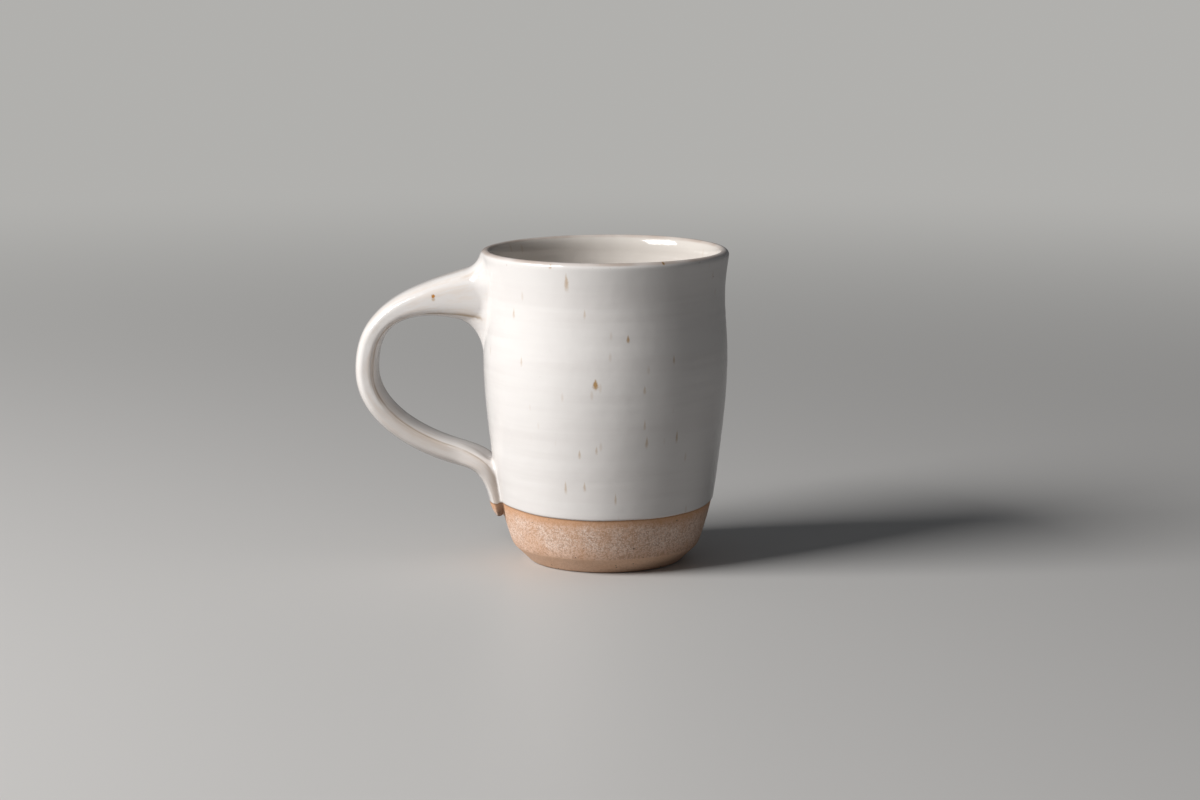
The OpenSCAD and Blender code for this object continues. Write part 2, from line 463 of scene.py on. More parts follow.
strap = {
    "gap": 38,
    "width": 19.5,
    "thick": 7.8,
    "outShare": 0.47,          # part of the thickness outside the centre line
    "embed": 0.5,              # share of the wall that the root is worked into
    "rootDrop": 15,
    "rootWidth": 23,
    "rootTopDrop": 5.0,
    "rootUnder": 9.4,          # extra thickness under the root
    "rootLength": 40,
    "knee": 38.4,
    "kneeGap": 13.6,
    "tailWidth": 24,
    "tailThick": 3.9,
    "tailOff": 0.36,           # share of the tail's thickness between the wall and the centre line
    "tail": 15.5,
    "tipLength": 6.2,
    "tipThin": (2, 0.75),      # powers that round the tip off in thickness and in width
    "tipNarrow": (3, 0.34),
    "rootFall": 1.4,           # the higher, the sooner the root thins outside
    "underFall": 2.2,          # the same on its underside
    "rooting": 9,              # run over which the section leaves the wall's curve
    "tailing": 12,             # run over which the strap flattens into the tail
    # Powers of the section's sine and cosine: on the strap, their change at the root and how soon it
    # fades, and their change at the tail
    "powers": {
        "crownPower": (0.82, -0.14, 0.8, -0.32),
        "sidePower": (0.75, -0.12, 0.8, -0.27),
        "underPower": (0.42, 0.4, 1.4, 0.5),
    },
    # Pulls shape the three cubics, as shares of the distance that each one spans
    "rootPull": (0.57, -0.043),
    "bendPull": (0.41, 0.26),  # above the bend, below the bend
    "armPull": 0.5,
    "kneePull": 0.64,
    "tailPull": (0.048, 0.69),
    "armWay": (0.958, 0.287),  # direction of the lower arm at the knee
    "bendRise": 0.5,           # how far the widest point lies above the middle
    "steps": (74, 36, 46),     # on the upper arm, the lower arm and the tail
    "crowding": (1.35, 0.7),   # of the upper arm's points towards the root, and of the tail's to the tip
    "sides": 96,
}
# Fillets between handle and wall: radius, then the height from which it holds and the height it takes
fillets = {
    "side": 2.4,
    "top": (6.0, 93, 9),
    "under": (9.5, 56, 10),
    "underTop": (86, 6),       # where the one under the root ends, in height
    "underSide": (6, 7),       # and sideways
    "knee": (2.2, 44, 8),      # these two hold below that height
    "tail": (0.4, 28, 8),
}


def strapPath():
    # The centre line as (distance from the axis, height), in three cubics, and the run to each point
    rootZ = body["height"] - strap["rootDrop"]
    embed = body["wall"] * strap["embed"]
    root = np.array((wallRadius(rootZ) - embed, rootZ))
    bendX = body["belly"][0] / 2 + strap["gap"] + strap["thick"] * (1 - strap["outShare"])
    bend = np.array((bendX, (rootZ + strap["knee"]) / 2 + strap["bendRise"]))
    knee = np.array((wallRadius(strap["knee"]) + strap["kneeGap"], strap["knee"]))
    tail = np.array((wallRadius(strap["tail"]) + strap["tailThick"] * strap["tailOff"], strap["tail"]))
    loop = np.array((bend[0] - root[0], rootZ - strap["knee"]))
    arm = np.array(strap["armWay"])
    above, below = strap["bendPull"]
    upperSteps, lowerSteps, tailSteps = strap["steps"]
    toRoot, toTip = strap["crowding"]
    upper = cubic(root, root + loop * strap["rootPull"], bend + loop * (0, above), bend, upperSteps, toRoot)
    lower = cubic(bend, bend - loop * (0, below),
                  knee + strap["armPull"] * (bend[0] - knee[0]) * arm, knee, lowerSteps)
    lowest = cubic(knee, knee - strap["kneePull"] * strap["kneeGap"] * arm,
                   tail + np.array(strap["tailPull"]) * (strap["knee"] - strap["tail"]),
                   tail, tailSteps, toTip)
    path = np.array(upper + lower[1:] + lowest[1:])
    lengths = np.linalg.norm(np.diff(path, axis=0), axis=1)
    runs = np.concatenate(([0], np.cumsum(lengths))) - embed
    return path, runs, runs[upperSteps], runs[upperSteps + lowerSteps]


path, runs, bendRun, kneeRun = strapPath()


def strapSection(i):
    # Thickness, width and form of the section at a point of the path, as the values of one row
    run = runs[i]
    ahead, behind = path[min(len(path) - 1, i + 1)], path[max(0, i - 1)]
    way = (ahead - behind) / np.linalg.norm(ahead - behind)
    swell = clamp(1 - max(0, run) / strap["rootLength"])
    tailing = past(run, kneeRun, strap["tailing"])
    end = clamp((run - runs[-1] + strap["tipLength"]) / strap["tipLength"])
    thin, narrow = (max(0, 1 - end ** a) ** b for a, b in (strap["tipThin"], strap["tipNarrow"]))
    outBase = strap["thick"] * strap["outShare"]
    inBase = strap["thick"] - outBase
    rootShare = swell ** strap["rootFall"]
    over = outBase + (strap["rootDrop"] - strap["rootTopDrop"] - outBase) * rootShare
    over += (strap["tailThick"] * (1 - strap["tailOff"]) - over) * tailing
    under = inBase + strap["rootUnder"] * swell ** strap["underFall"]
    width = strap["width"] + (strap["rootWidth"] - strap["width"]) * rootShare
    width += (strap["tailWidth"] - strap["width"]) * tailing
    capped = 0 if i == 0 else 1              # the first row closes to a point inside the wall
    section = {
        "out": (way[1], 0, way[0]),
        "along": (-way[0], 0, way[1]),
        "outThick": capped * over * thin * mm,
        "inThick": capped * under * thin * mm,
        "halfWidth": capped * width / 2 * narrow * mm,
        "wallRadius": wallRadius(path[i][1]) * mm,
        "tailing": tailing,
        "rooting": 1 - past(run, 0, strap["rooting"]),
        "run": run * mm,
    }
    for label, (plain, atRoot, fade, atTail) in strap["powers"].items():
        section[label] = plain + atRoot * swell ** fade + atTail * tailing
    return section


def strapTree():
    tree = Sweep("strap", {"Sides": "NodeSocketInt", "Material": "NodeSocketMaterial"})
    size = tree.size
    mesh, column, row = tree.grid(size["Sides"] + 1)
    angle = column.math("MODULO", size["Sides"]) / size["Sides"] * math.tau
    side = angle.cos().sign() * angle.cos().abs() ** tree.sample("sidePower", row)
    across = side * tree.sample("halfWidth", row)
    crown = angle.sin().atLeast(0) ** tree.sample("crownPower", row) * tree.sample("outThick", row)
    under = (-angle.sin()).atLeast(0) ** tree.sample("underPower", row) * tree.sample("inThick", row)
    wall = tree.sample("wallRadius", row)
    fall = wall - (wall * wall - across * across).atLeast(0).sqrt()      # the wall curves away sideways
    outward = crown - under - fall * tree.sample("tailing", row)
    inward = -fall * tree.sample("rooting", row)
    centre = tree.sample("position", row, "FLOAT_VECTOR")
    out = tree.vector("SCALE", tree.sample("out", row, "FLOAT_VECTOR"), scale=outward)
    along = tree.vector("SCALE", tree.sample("along", row, "FLOAT_VECTOR"), scale=inward)
    sideways = tree.vector("ADD", along, tree.combine(0, across, 0))
    position = tree.vector("ADD", tree.vector("ADD", centre, out), sideways)
    tree.close(mesh, position, {"turn": angle, "run": tree.sample("run", row)}, flip=True)
    return tree


sections = [strapSection(i) for i in range(len(path))]
pulled = runSweep(
    lineObject("spine", [(-x, 0, z) for x, z in path],
               {label: [section[label] for section in sections] for label in sections[0]}),
    strapTree(),
    {"Sides": strap["sides"], "Material": stoneware},
    "pulled")
print("handle pulled", len(pulled.data.polygons))

join = {
    "zone": (-20, 24),         # the join lies beyond this X and within this distance of the middle
    "depth": 1.2,              # and not deeper than this in the wall
    "merge": 0.32,             # points closer than this become one
    "rounds": 24,              # of evening out the points
    "swapEvery": 6,            # rounds between two turns of choosing better triangles
    "swapAt": 3,
    "settleSteps": 24,         # for a point to reach the fillet
    "longest": 0.5,
    "shortest": 0.003,
}


def surfaceOf(obj):
    # Distance to a closed mesh and its direction, as a function of a point; negative just inside
    tree = BVHTree.FromPolygons([v.co for v in obj.data.vertices], [p.vertices[:] for p in obj.data.polygons])

    def distance(point):
        place, normal, _, gap = tree.find_nearest(point)
        away = point - place
        sign = -1 if gap < mm and away.dot(normal) < 0 else 1
        direction = away * (sign / gap) if gap > 0.02 * mm else normal
        return sign * gap, direction
    return distance


def filletRadius(point):
    # Widest under the middle of the root, swept up over it to the lip, and tight along the tail
    y, z = abs(point.y) / mm, point.z / mm
    side, (top, *topFrom), (under, *underFrom) = fillets["side"], fillets["top"], fillets["under"]
    underShare = (1 - past(z, *fillets["underTop"])) * past(z, *underFrom)
    underShare *= 1 - past(y, *fillets["underSide"])
    radius = side + (top - side) * past(z, *topFrom) + (under - side) * underShare
    for size, *upTo in (fillets["knee"], fillets["tail"]):
        radius += (size - radius) * (1 - past(z, *upTo))
    return radius * mm


def facesOf(points):
    # In a fixed order, so that every run gives the same mesh
    return list(dict.fromkeys(face for v in points for face in v.link_faces))


def dropFlaps(bm, points):
    # A flap is two faces back to back on the same corners
    sameCorners = {}
    for face in facesOf(points):
        sameCorners.setdefault(frozenset(face.verts), []).append(face)
    flaps = [face for faces in sameCorners.values() if len(faces) > 1 for face in faces]
    bmesh.ops.delete(bm, geom=flaps, context="FACES")
    return [v for v in points if v.is_valid]


def swapEdges(bm, points):
    faces = [face for face in facesOf(points) if len(face.verts) == 3]
    known = set(faces)
    inner = dict.fromkeys(e for face in faces for e in face.edges if known.issuperset(e.link_faces))
    bmesh.ops.beautify_fill(bm, faces=faces, edges=list(inner), method="ANGLE")
    bm.normal_update()


def slidePlace(v):
    # Half of the way to the middle of the neighbours, along the surface
    around = [e.other_vert(v).co for e in v.link_edges]
    shift = (sum(around, Vector()) / len(around) - v.co) * 0.5
    return v.co + shift - v.normal * shift.dot(v.normal)


def joinPieces(bodyPiece, handlePiece, name):
    modifier = bodyPiece.modifiers.new("join", "BOOLEAN")
    modifier.operation, modifier.object, modifier.solver = "UNION", handlePiece, "MANIFOLD"
    toBody, toHandle = surfaceOf(bodyPiece), surfaceOf(handlePiece)
    piece = plainMesh(bodyPiece, name)

    def settle(point):
        # Moves a point outwards onto the fillet
        for _ in range(join["settleSteps"]):
            k = filletRadius(point)
            a, bodyWay = toBody(point)
            b, handleWay = toHandle(point)
            if a >= k or b >= k:
                break
            u, v = k - a, k - b
            reach = math.hypot(u, v)
            slope = (bodyWay * u + handleWay * v) / reach
            step = slope * ((reach - k) / max(0.02, slope.length_squared))
            if step.length > join["longest"] * mm:
                step *= join["longest"] * mm / step.length
            point = point + step
            if step.length < join["shortest"] * mm:
                break
        return point

    def inZone(point):
        x, y, z = (c / mm for c in point)
        beyond, within = join["zone"]
        if x >= beyond or abs(y) >= within:
            return False
        if proudOf(x, y, z) <= -join["depth"]:
            return False
        k = filletRadius(point)
        return toBody(point)[0] < k and toHandle(point)[0] < k

    bm = bmesh.new()
    bm.from_mesh(piece.data)
    zone = [v for v in bm.verts if inZone(v.co)]
    bmesh.ops.remove_doubles(bm, verts=zone, dist=join["merge"] * mm)
    zone = [v for v in zone if v.is_valid]
    bmesh.ops.triangulate(bm, faces=facesOf(zone))
    zone = dropFlaps(bm, zone)
    print("fillet points", len(zone))
    for v in zone:
        v.co = settle(v.co)
    for turn in range(join["rounds"]):
        if turn % join["swapEvery"] == join["swapAt"]:
            swapEdges(bm, zone)
        places = [slidePlace(v) for v in zone]
        for v, place in zip(zone, places):
            v.co = settle(place)
        bm.normal_update()
    for v in zone:
        v.co.z = min(v.co.z, high.z)
    bm.to_mesh(piece.data)
    bm.free()
    return piece


handleTurns = [(v.co.copy(), a.value, r.value) for v, a, r in zip(
    pulled.data.vertices, pulled.data.attributes["turn"].data, pulled.data.attributes["run"].data)]
mug = joinPieces(thrown, pulled, "mug_stoneware")
bpy.data.objects.remove(pulled)

# Where the glaze wears thin on the strap, and where painted shade darkens its bend, its sides and the tail's
# crevice.
# Turns are angles round its section, runs are millimetres along it and proud is how far a point stands out of
# the mug's wall.
# A pair for run, proud, gap or side, which is how squarely a point faces sideways, is where a mark starts and
# how far on it is full.
wearAndShade = {
    "handleProud": (0.25, 1.2),
    "edges": (0.80, 2.34, 3.60, 5.82),       # its four edges
    "edgeWidth": 0.12,
    "edgeProud": (1, 3),
    "edgeRun": (0, 8),
    "lines": ((3.60, 1), (5.82, -1)),        # its inner edges, each with the way to the inner face's middle
    "lineWidth": (0.075, 0.03),              # and the painted shade that widens it round the bend
    "lineShift": (0.1, 16),                  # towards that middle, twice as far at the root, and its fade
    "lineProud": (0.6, 2),
    "lineRun": (0, 3),
    "shadeBandOff": 0.26,                         # a band of painted shade beside each line, round the bend
    "shadeBandWidth": 0.24,
    "shadeBandShare": 0.42,
    "bentRun": (20, 25),
    "straightRun": (35, 25),                 # beyond the widest point
    "side": (0.6, 0.25),
    "tailEarly": 4,                          # the painted shade on the tail's sides starts this far before the knee
    "tailRun": 6,
    "tailProud": 0.2,
    "tailFade": (1.2, 3, 0.6),               # where it stands further out, and how much weaker
    # painted shade on the lower arm's sides, beyond the bend
    "armRun": 25,
    "armShare": 0.4,
    "nubDepth": 1.2,                         # the bare nub reaches so far into the wall
    "nubSide": (0.7, 0.25),
    "nubGap": (-1, 0.5),                     # from the strap's own surface, with painted shade darkest in its crevice
    "streaks": (0.035, 2.2),                 # how fine the pulled streaks are, along it and round it
}


def strapWearAndShade(turn, run, proud):
    # Thin glaze on the edges, the dark line on the inner edges with painted shade beside it round the bend,
    # and painted shade on the sides of arm and tail
    side = math.cos(turn) ** 2
    thin = max(hump(turn, edge, wearAndShade["edgeWidth"]) for edge in wearAndShade["edges"])
    thin *= past(proud, *wearAndShade["edgeProud"]) * past(run, *wearAndShade["edgeRun"])
    bent = past(run, *wearAndShade["bentRun"]) * (1 - past(run - bendRun, *wearAndShade["straightRun"]))
    plainWidth, bentWidth = wearAndShade["lineWidth"]
    plainShift, shiftFade = wearAndShade["lineShift"]
    shift = plainShift * (1 + past(-run, -strap["rootLength"], shiftFade))
    line = 0
    for edge, way in wearAndShade["lines"]:
        centre = edge + shift * way
        shadeBand = hump(turn, centre - wearAndShade["shadeBandOff"] * way, wearAndShade["shadeBandWidth"])
        crease = hump(turn, centre, plainWidth + bentWidth * bent)
        line = max(line, crease, wearAndShade["shadeBandShare"] * bent * shadeBand)
    line *= past(proud, *wearAndShade["lineProud"]) * past(run, *wearAndShade["lineRun"])
    onSide = past(side, *wearAndShade["side"])
    paintedTailShade = past(run, kneeRun - wearAndShade["tailEarly"], wearAndShade["tailRun"]) * onSide
    paintedTailShade *= past(proud, wearAndShade["handleProud"][0], wearAndShade["tailProud"])
    fadeFrom, fadeOver, weaker = wearAndShade["tailFade"]
    paintedTailShade *= 1 - weaker * past(proud, fadeFrom, fadeOver)
    armShade = wearAndShade["armShare"] * past(run, bendRun, wearAndShade["armRun"]) * onSide
    return thin, line, max(paintedTailShade, armShade)


def markSurface(piece):
    # Height above the dipped line in millimetres, and what the paint needs to know of the handle
    tree = KDTree(len(handleTurns))
    for i, (place, _, _) in enumerate(handleTurns):
        tree.insert(place, i)
    tree.balance()
    marks = {"overLine": [], "thin": [], "inside": [], "paintedSideShade": [], "edgeLineAndShade": []}
    pull = []
    for v in piece.data.vertices:
        x, y, z = (c / mm for c in v.co)
        proud = proudOf(x, y, z)
        dipped = glaze["line"] + lineWave(math.atan2(y, x))
        aboveFloor = z > body["floor"] - 0.5
        thin, line, shaded, along = 0, 0, 0, (0, 0, 0)
        if x < 0 and proud > wearAndShade["handleProud"][0]:
            dipped += (glaze["tailLine"] - dipped) * past(proud, *wearAndShade["handleProud"])
            _, turn, run = handleTurns[tree.find(v.co)[1]]
            thin, line, shaded = strapWearAndShade(turn, run / mm, proud)
            lengthways, roundwards = wearAndShade["streaks"]
            along = (run / mm * lengthways, math.cos(turn) * roundwards, math.sin(turn) * roundwards)
        # painted shade on the bare nub's side, darkest in its crevice against the wall
        if x < 0 and z < dipped and proud > -wearAndShade["nubDepth"]:
            _, i, gap = tree.find(v.co)
            shaded = past(math.cos(handleTurns[i][1]) ** 2, *wearAndShade["nubSide"])
            shaded *= past(-gap / mm, *wearAndShade["nubGap"])
        marks["overLine"].append(glaze["farOver"] if proud < -2 and aboveFloor else z - dipped)
        marks["thin"].append(thin)
        marks["inside"].append(past(-proud, *glaze["insideStart"]) if aboveFloor else 0)
        marks["paintedSideShade"].append(shaded)
        marks["edgeLineAndShade"].append(line)
        pull += along
    for label, values in marks.items():
        piece.data.attributes.new(label, "FLOAT", "POINT").data.foreach_set("value", values)
    piece.data.attributes.new("pull", "FLOAT_VECTOR", "POINT").data.foreach_set("vector", pull)


markSurface(mug)
for face in mug.data.polygons:
    face.use_smooth = True
print("mug joined", len(mug.data.polygons))

finish = {
    "glaze": (0.80, 0.771, 0.752, 1),
    "glazeWarm": (0.74, 0.66, 0.60, 1),      # where it runs thin
    "glazeShade": (0.70, 0.660, 0.640, 1),
    # painted shade: the inside of the mug is multiplied by this, darker and warmer
    "inside": (0.86, 0.835, 0.795, 1),
    "fleck": (0.46, 0.28, 0.12, 1),
    "darkFleck": (0.16, 0.10, 0.05, 1),
    "clay": (0.77, 0.51, 0.37, 1),
    "clayPale": (0.93, 0.82, 0.745, 1),
    "clayDeep": (0.40, 0.21, 0.12, 1),
    "toast": (0.62, 0.33, 0.17, 1),          # flashed band under the glaze
    "burnt": (0.34, 0.17, 0.08, 1),          # at the very edge of the glaze
    "trimmed": (0.84, 0.55, 0.37, 1),
    "iron": (0.10, 0.06, 0.04, 1),
    "dot": (0.46, 0.20, 0.04, 1),
    "paintedTailShade": (0.38, 0.31, 0.26, 1),      # painted shade on the sides of the tail and lower arm, and in the tail's crease
    # painted shade on the bare nub's side and in its crevice
    "nub": (0.20, 0.11, 0.065, 1),
    "lip": (0.46, 0.36, 0.30, 1),            # glaze drawn thin on the lip
    "edge": (0.36, 0.27, 0.19, 1),           # glaze worn thin along the strap's inner edges, and painted shade beside them round the bend
    "wallSpan": 43,                          # millimetres of wall to a radian, for marks laid round the mug
    "glazeRough": 0.09,
    "clayRough": 0.8,
    "glassIndex": 1.5,
}
# How fine each pattern is, in cells or waves a millimetre
pattern = {
    "cloud": 0.035,
    "bands": 0.16,
    "worn": 0.5,
    "nick": 0.7,
    "streaks": 2.6,
    "fine": 1.4,
    "speck": 0.16,
    "dimple": 0.22,
    "faint": (0.30, 0.105),    # round the mug, up the mug
    "grog": 1.6,
    "mottle": 2.6,
    "gaps": 0.8,
    "blotch": 0.13,
    "waver": 0.45,
    "iron": 0.34,
    "trimLines": 2.2,
    "brink": 1.1,
}
# How strongly each layer covers what lies below it
cover = {
    "bands": 0.55,
    "cloud": 0.3,
    "shade": 0.5,
    "thin": 0.55,
    "aboveLine": 0.5,
    "lip": 0.35,
    "lipPatch": 0.45,
    "nick": 0.4,
    "streaks": 0.55,
    "worn": 0.85,
    "drip": 0.6,
    "faint": 0.2,
    "paintedSideShade": 0.85,
    "speck": 0.8,
    "pale": 0.3,
    "paleMiddle": 0.55,
    "gaps": 0.6,
    "blotch": 0.4,
    "trimmed": 0.6,
    "toast": 0.72,
    "burnt": 0.6,
    "nub": 0.9,
    "iron": 0.85,
}
# Heights where each layer starts and where it is full, and the same over the dipped line
layer = {
    "lip": (110.7, 111.5),
    "nick": (109.0, 109.8),
    "trimmed": (6.4, 5.8),
    "middleLow": (7.0, 11.0),  # the palest clay lies between these two
    "middleHigh": (21.5, 16.5),
    "overThin": (1.2, 0.1),
    "overEdge": (-0.06, 0.06),
    "overToast": (-4.6, -0.4),
    "overBurnt": (-0.8, -0.1),
}
# Flecks in the glaze: degrees round the mug, height, half width, half height, strength
flecks = [
    (-91.6, 70.0, 1.25, 1.9, 1.15), (-76.6, 85.7, 0.7, 1.5, 0.85), (-105, 105.3, 1.05, 3.2, 0.6),
    (-59.6, 111.5, 0.6, 0.6, 1.6), (-112.6, 110.6, 0.8, 1.0, 0.6), (-135.3, 92.8, 0.8, 1.9, 0.4),
    (-96.7, 94.3, 0.6, 1.8, 0.35), (-68.9, 67.7, 0.7, 1.6, 0.4), (-54, 77.7, 0.6, 1.7, 0.5),
    (-51, 50.2, 0.7, 2.2, 0.6), (-67.2, 49.1, 0.8, 2.2, 0.5), (-68.5, 55.3, 0.6, 2.0, 0.4),
    (-99.6, 45.1, 0.7, 1.8, 0.5), (-91.4, 46.7, 0.6, 1.6, 0.4), (-107.4, 32.9, 0.7, 2.4, 0.45),
    (-97.6, 33.3, 0.7, 1.8, 0.45), (-82.1, 29, 0.6, 2.2, 0.45), (-129.2, 76.5, 0.6, 1.8, 0.35),
]
handleFleck = (-60.4, -11, 96.0)             # laid on the nearest surface, with a pale drip below it
handleDrip = (-60.4, -11, 94.8)


class StonewareTree(Tree):
    # The stoneware's node tree, with the places and attributes that glaze and clay both read
    def __init__(self, material):
        material.use_nodes = True
        material.node_tree.nodes.clear()
        super().__init__(material.node_tree)
        self.point = self.vector("SCALE", self.add("ShaderNodeTexCoord", None, None, 3), scale=1 / mm)
        x, y, self.z = self.split(self.point)
        self.angle = y.math("ARCTAN2", x)
        self.around = self.angle * finish["wallSpan"]
        self.overLine = self.attribute("overLine")
        self.paintedSideShade = self.attribute("paintedSideShade")

    def circle(self, size, height):
        return self.combine(self.angle.cos() * size, self.angle.sin() * size, height)

    def nearTo(self, place):
        return self.vector("DISTANCE", self.point, tuple(c / mm for c in place))


def fleckMarks(tree, inside, fine, drip):
    # Rust flecks that run downwards, strongest in the list above, and faint ones anywhere
    marks = 0
    for degrees, height, halfWidth, halfHeight, strength in flecks:
        up = (tree.z - height) * (1 / halfHeight)
        aside = tree.around - math.radians(degrees) * finish["wallSpan"]
        across = aside / ((0.75 - up * 0.4).atLeast(0.25) * halfWidth)
        spread = (across * across + up * up).sqrt() + (fine - 0.5) * 0.7
        marks = (spread.step(1.3, 0.2) * strength).atLeast(marks)
    marks = (marks * (1 - inside)).atLeast(drip * cover["drip"])
    aroundMug, upMug = pattern["faint"]
    streaked = tree.combine(tree.around * aroundMug, tree.z * upMug, 0.0)
    pick = tree.split(tree.cells(streaked, 1.0, 1))[0]
    faint = tree.cells(streaked, 1.0).step(0.24, 0.06) * pick.step(0.82, 0.86) * cover["faint"]
    return marks.atLeast(faint)


def glazeLook(tree, nearest):
    # Colour, roughness and height of the glaze
    point, z = tree.point, tree.z
    cloud = tree.noise(point, pattern["cloud"], 3)
    bands = tree.noise(tree.circle(0.4, z * pattern["bands"]), 1.0, 3, 0.6)
    shade = bands.step(0.42, 0.62) * cover["bands"] + cloud.step(0.35, 0.7) * cover["cloud"]
    colour = tree.mix(shade * cover["shade"], finish["glaze"], finish["glazeShade"])
    inside = tree.attribute("inside")
    # painted shade darkens and warms the inside of the mug
    colour = tree.mix(inside, colour, finish["inside"], blend="MULTIPLY")

    # thin and worn places, and painted shade beside the strap's inner edges
    aboveLine = tree.overLine.step(*layer["overThin"]) * cover["aboveLine"]
    warm = (tree.attribute("thin") * cover["thin"]).atLeast(aboveLine)
    warm = warm * tree.noise(point, pattern["worn"], 2).step(0.3, 0.6)
    colour = tree.mix(warm, colour, finish["glazeWarm"])
    rimPatch = tree.noise(tree.circle(2.2, 0.0), 1.0, 3).step(0.38, 0.6)
    onLip = z.step(*layer["lip"]) * (rimPatch * cover["lipPatch"] + cover["lip"])
    colour = tree.mix(onLip, colour, finish["lip"])
    nick = tree.noise(tree.combine(tree.around, 0.0, z), pattern["nick"], 1).step(0.67, 0.73)
    nick = nick * z.step(*layer["nick"]) * (1 - inside)
    colour = tree.mix(nick * cover["nick"], colour, finish["lip"])
    pull = tree.attribute("pull", 1)
    streaks = tree.noise(pull, pattern["streaks"], 3, 0.6)
    onStrap = tree.vector("LENGTH", pull).step(0.5, 1.5)
    colour = tree.mix(streaks.step(0.46, 0.66) * onStrap * cover["streaks"], colour, finish["glazeWarm"])
    # worn glaze on the strap's inner edges, with painted shade widening the line and beside it round the bend
    worn = tree.attribute("edgeLineAndShade") * streaks.step(0.3, 0.55)
    colour = tree.mix(worn * cover["worn"], colour, finish["edge"])

    # flecks, painted shade on the strap's sides, the handle's dot and dark specks
    fine = tree.noise(point, pattern["fine"], 2)
    drip = tree.nearTo(nearest(Vector(handleDrip) * mm)).step(0.95, 0.2)
    marks = fleckMarks(tree, inside, fine, drip)
    colour = tree.mix(marks.atMost(1), colour, finish["fleck"])
    colour = tree.mix(marks.step(1.15, 1.3), colour, finish["darkFleck"])
    # painted shade on the sides of the tail and the lower arm, darkest in the tail's crease
    colour = tree.mix(tree.paintedSideShade * cover["paintedSideShade"], colour, finish["paintedTailShade"])
    dot = (tree.nearTo(nearest(Vector(handleFleck) * mm)) + (fine - 0.5) * 0.7).step(0.9, 0.3)
    colour = tree.mix(dot, colour, finish["dot"])
    speckPick = tree.split(tree.cells(point, pattern["speck"], 1))[1]
    speck = tree.cells(point, pattern["speck"]).step(0.05, 0.03) * speckPick.step(0.9, 0.91)
    colour = tree.mix(speck * cover["speck"], colour, finish["darkFleck"])

    rough = finish["glazeRough"] + bands * 0.05 + marks * 0.15
    return colour, rough, cloud * 0.5 + tree.noise(point, pattern["dimple"], 2) * 0.05


def clayLook(tree):
    # Colour, roughness and height of the bare clay
    point, z = tree.point, tree.z
    grog = tree.cells(point, pattern["grog"])
    mottle = tree.noise(point, pattern["mottle"], 4, 0.75)
    middle = z.step(*layer["middleLow"]) * z.step(*layer["middleHigh"])
    pale = mottle.step(0.40, 0.60) * (middle * cover["paleMiddle"] + cover["pale"])
    colour = tree.mix(pale, finish["clay"], finish["clayPale"])
    gaps = grog.step(0.3, 0.62) * tree.noise(point, pattern["gaps"], 2).step(0.25, 0.6)
    colour = tree.mix(gaps * cover["gaps"], colour, finish["clayDeep"])
    blotch = tree.noise(point, pattern["blotch"], 3).step(0.4, 0.7)
    colour = tree.mix(blotch * cover["blotch"], colour, finish["toast"])
    trimmed = z.step(*layer["trimmed"])
    colour = tree.mix(trimmed * cover["trimmed"], colour, finish["trimmed"])
    waver = (tree.noise(point, pattern["waver"], 3) - 0.5) * 3
    toast = (tree.overLine + waver).step(*layer["overToast"])
    colour = tree.mix(toast * cover["toast"], colour, finish["toast"])
    colour = tree.mix(tree.overLine.step(*layer["overBurnt"]) * cover["burnt"], colour, finish["burnt"])
    # painted shade on the bare nub's side, darkest in its crevice against the wall
    colour = tree.mix(tree.paintedSideShade * cover["nub"], colour, finish["nub"])
    ironPick = tree.split(tree.cells(point, pattern["iron"], 1))[0]
    iron = tree.cells(point, pattern["iron"]).step(0.13, 0.07) * ironPick.step(0.62, 0.66)
    colour = tree.mix(iron * cover["iron"], colour, finish["iron"])

    grain = (mottle * 0.8 - grog * 0.25) * (1 - trimmed * 0.6) * 0.10
    trimLines = tree.noise(tree.circle(1, z * pattern["trimLines"]), 1.0, 2) * (0.02 + trimmed * 0.1)
    return colour, finish["clayRough"] - trimmed * 0.15, grain + trimLines


def paintStoneware(material, nearest):
    tree = StonewareTree(material)
    glazeColour, glazeRough, glazeHeight = glazeLook(tree, nearest)
    clayColour, clayRough, clayHeight = clayLook(tree)
    brink = (tree.noise(tree.point, pattern["brink"], 2) - 0.5) * 0.35
    glazed = (tree.overLine + brink).step(*layer["overEdge"])
    height = tree.mix(glazed, clayHeight, glazeHeight, "FLOAT")
    shader = tree.add("ShaderNodeBsdfPrincipled", None, {
        "Base Color": tree.mix(glazed, clayColour, glazeColour),
        "Roughness": tree.mix(glazed, clayRough, glazeRough, "FLOAT"),
        "Normal": tree.add("ShaderNodeBump", None, {"Strength": 1.0, "Distance": mm, "Height": height}),
        "IOR": finish["glassIndex"]})
    tree.add("ShaderNodeOutputMaterial", None, {"Surface": shader})


surface = BVHTree.FromPolygons([v.co for v in mug.data.vertices], [p.vertices[:] for p in mug.data.polygons])
paintStoneware(stoneware, lambda place: surface.find_nearest(place)[0])
mug.data.materials.clear()
mug.data.materials.append(stoneware)
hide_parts("mug")
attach(mug, "root")
print("mug painted")

# The studio's distances are in metres
studio = {
    "floor": (0.58, 0.57, 0.56, 1),
    "floorRough": 0.5,
    "backdrop": (0.44, 0.435, 0.42, 1),
    "bounce": 0.65,             # how much of the floor's colour it throws back on the mug
    "reach": 14.0,              # from the middle to the floor's edge
    "sweepStart": 0.2,          # between these distances the floor fades into the backdrop
    "sweepEnd": 1.3,
    "keyTurn": -152,
    "keyRise": 32,
    "keyDistance": 1.6,
    "keyAim": 0.06,
    "keySize": (0.9, 0.62),
    "keyPower": 34.4,
    "keyColour": (1.0, 0.99, 0.975),
    "fill": 0.09,
    "fillColour": (0.93, 0.96, 1.0, 1),
    "surround": (0.48, 0.47, 0.45, 1),
}
# The camera's place is in millimetres and its angles in degrees
camera = {"place": (59.6, -1174.4, 256.6), "lens": 100, "turn": 3.0, "pitch": 9.617, "roll": -0.122}


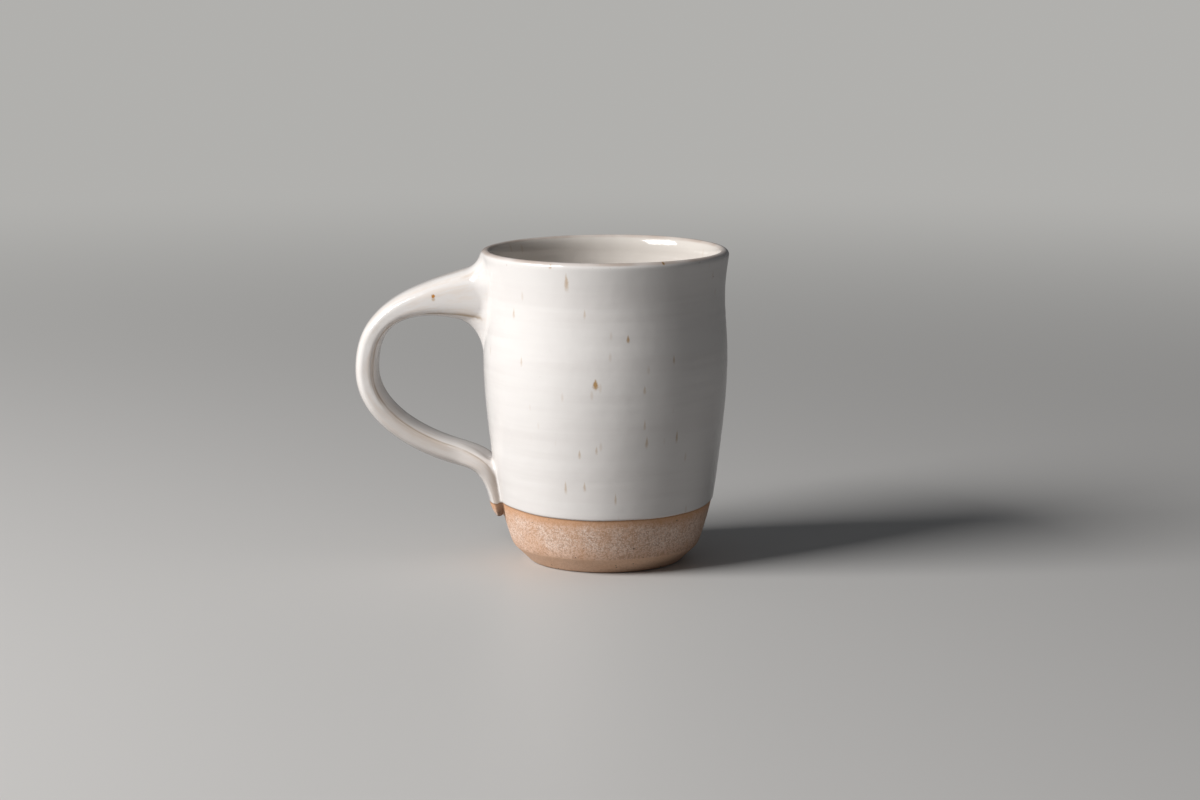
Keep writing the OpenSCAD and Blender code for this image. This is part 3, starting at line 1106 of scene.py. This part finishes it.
def makeFloor():
    bm = bmesh.new()
    bmesh.ops.create_grid(bm, x_segments=4, y_segments=4, size=studio["reach"])
    mesh = bpy.data.meshes.new("floor")
    bm.to_mesh(mesh)
    bm.free()
    floor = bpy.data.objects.new("floor", mesh)
    scene.collection.objects.link(floor)
    material = bpy.data.materials.new("pale floor")
    material.use_nodes = True
    material.node_tree.nodes.clear()
    tree = Tree(material.node_tree)
    place = tree.add("ShaderNodeTexCoord", None, None, 3)
    seen = tree.add("ShaderNodeLightPath")
    away = tree.vector("LENGTH", place).step(studio["sweepStart"], studio["sweepEnd"])
    dim = [c * studio["bounce"] for c in studio["floor"][:3]] + [1]
    colour = tree.mix(seen, dim, studio["floor"])
    near = tree.add("ShaderNodeBsdfPrincipled", None,
                    {"Base Color": colour, "Roughness": studio["floorRough"]})
    far = tree.add("ShaderNodeEmission", None, {"Color": studio["backdrop"], "Strength": 1.0})
    shader = tree.add("ShaderNodeMixShader", None, {0: away * seen, 1: near, 2: far})
    tree.add("ShaderNodeOutputMaterial", None, {"Surface": shader})
    mesh.materials.append(material)


def makeKey():
    lamp = bpy.data.lights.new("key", "AREA")
    lamp.shape, lamp.energy = "RECTANGLE", studio["keyPower"]
    lamp.size, lamp.size_y = studio["keySize"]
    lamp.color = studio["keyColour"]
    key = bpy.data.objects.new("key", lamp)
    turn, rise = math.radians(studio["keyTurn"]), math.radians(studio["keyRise"])
    way = Vector((math.cos(turn) * math.cos(rise), math.sin(turn) * math.cos(rise), math.sin(rise)))
    key.location = Vector((0, 0, studio["keyAim"])) + way * studio["keyDistance"]
    key.rotation_euler = way.to_track_quat("Z", "Y").to_euler()
    scene.collection.objects.link(key)


def makeWorld():
    world = bpy.data.worlds.new("studio")
    scene.world = world
    world.use_nodes = True
    world.node_tree.nodes.clear()
    tree = Tree(world.node_tree)
    seen = tree.add("ShaderNodeLightPath")
    dim = tree.add("ShaderNodeBackground", None, {"Color": studio["fillColour"], "Strength": studio["fill"]})
    pale = tree.add("ShaderNodeBackground", None, {"Color": studio["surround"], "Strength": 1.0})
    mixed = tree.add("ShaderNodeMixShader", None, {0: seen, 1: dim, 2: pale})
    tree.add("ShaderNodeOutputWorld", None, {"Surface": mixed})


def makeCamera():
    lens = bpy.data.cameras.new("camera")
    lens.lens, lens.sensor_width, lens.clip_end = camera["lens"], 36, 60
    eye = bpy.data.objects.new("camera", lens)
    turn = (Matrix.Rotation(math.radians(camera["turn"]), 4, "Z")
            @ Matrix.Rotation(math.radians(90 - camera["pitch"]), 4, "X")
            @ Matrix.Rotation(math.radians(camera["roll"]), 4, "Z"))
    eye.matrix_world = Matrix.Translation(Vector(camera["place"]) * mm) @ turn
    scene.collection.objects.link(eye)
    scene.camera = eye


makeFloor()
makeKey()
makeWorld()
makeCamera()
scene.view_settings.view_transform = "Standard"
print("studio set")
